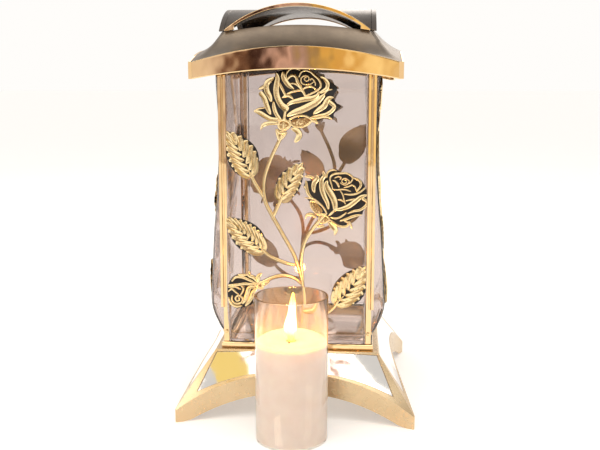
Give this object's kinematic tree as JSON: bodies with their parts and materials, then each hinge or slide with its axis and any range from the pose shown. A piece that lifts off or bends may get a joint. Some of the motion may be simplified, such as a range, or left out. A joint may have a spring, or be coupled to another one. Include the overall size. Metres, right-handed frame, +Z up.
{
  "type": "sanctuary lamp",
  "caption": "Four-sided lantern with bulged clear panes, gold rose reliefs, splayed star base and arched lift-off roof, with a glass LED candle standing in front.",
  "frame": {"origin": "on the ground, under the middle of the box around lantern and candle", "axes": "+Z up, -Y is the front, where the candle stands, +X to the right seen from the front"},
  "size_m": [0.26, 0.3224, 0.446],
  "materials": {
    "gold": "polished gold metallised moulding",
    "tray_gold": "gold coloured moulding",
    "satin_gold": "satin champagne gold metallised moulding",
    "antique_gold": "antiqued gold with dark recesses",
    "bronze": "matt taupe bronze lacquer",
    "mirror": "polished mirror plate",
    "clear": "clear moulding",
    "glass": "clear glass, faint amber",
    "steel": "bright",
    "wax": "ivory wax, satin",
    "flame": "translucent, lit from inside",
    "white_plastic": "moulded",
    "black_plastic": "moulded",
    "jacket": "printed jacket, plain",
    "board": "solder mask"
  },
  "bodies": {
    "lantern": {"base_shell": "satin_gold", "mirror_inset_1": "mirror", "mirror_inset_2": "mirror", "mirror_inset_3": "mirror", "mirror_inset_4": "mirror", "lower_frame": "gold", "upper_frame": "gold", "post_1": "gold", "post_2": "gold", "post_3": "gold", "post_4": "gold", "post_rivet_1": "gold", "post_rivet_2": "gold", "post_rivet_3": "gold", "post_rivet_4": "gold", "post_rivet_5": "gold", "post_rivet_6": "gold", "post_rivet_7": "gold", "post_rivet_8": "gold", "floor_tray": "tray_gold", "pane_1": "clear", "pane_2": "clear", "pane_3": "clear", "pane_4": "clear", "rose_ornament_1": "antique_gold", "rose_ornament_2": "antique_gold", "rose_ornament_3": "antique_gold", "rose_ornament_4": "antique_gold"},
    "roof": {"roof_fascia": "gold", "roof_slopes": "bronze", "roof_cap": "bronze", "roof_deck": "bronze", "heat_shield": "steel", "shield_standoff_1": "steel", "shield_standoff_2": "steel", "shield_standoff_3": "steel", "shield_standoff_4": "steel", "arch_rim_1": "gold", "arch_rim_2": "gold", "arch_rim_3": "gold", "arch_rim_4": "gold"},
    "candle": {"candle_glass": "glass", "wax_body": "wax", "flame_lens": "flame", "led": "flame", "battery_case": "white_plastic", "sensor_bead": "black_plastic", "battery_1": "jacket", "battery_2": "jacket", "contact_plate_1": "steel", "contact_plate_2": "steel", "contact_spring_1": "steel", "contact_spring_2": "steel", "circuit_board": "board"},
    "battery_door": {"battery_door": "white_plastic"},
    "switch": {"switch_knob": "black_plastic"}
  },
  "joints": [
    {"name": "roof_lift", "type": "slide", "parent": "lantern", "child": "roof", "axis": [0, 0, 1], "range_m": [0, 0.2]},
    {"name": "candle_lift", "type": "slide", "parent": "lantern", "child": "candle", "axis": [0, 0, 1], "range_m": [0, 0.2]},
    {"name": "battery_door_hinge", "type": "hinge", "parent": "candle", "child": "battery_door", "pos_m": [0, -0.11275, 0.0028], "axis": [1, 0, 0], "range_deg": [0, 100]},
    {"name": "switch_slide", "type": "slide", "parent": "candle", "child": "switch", "axis": [1, 0, 0], "range_m": [0, 0.004]}
  ]
}
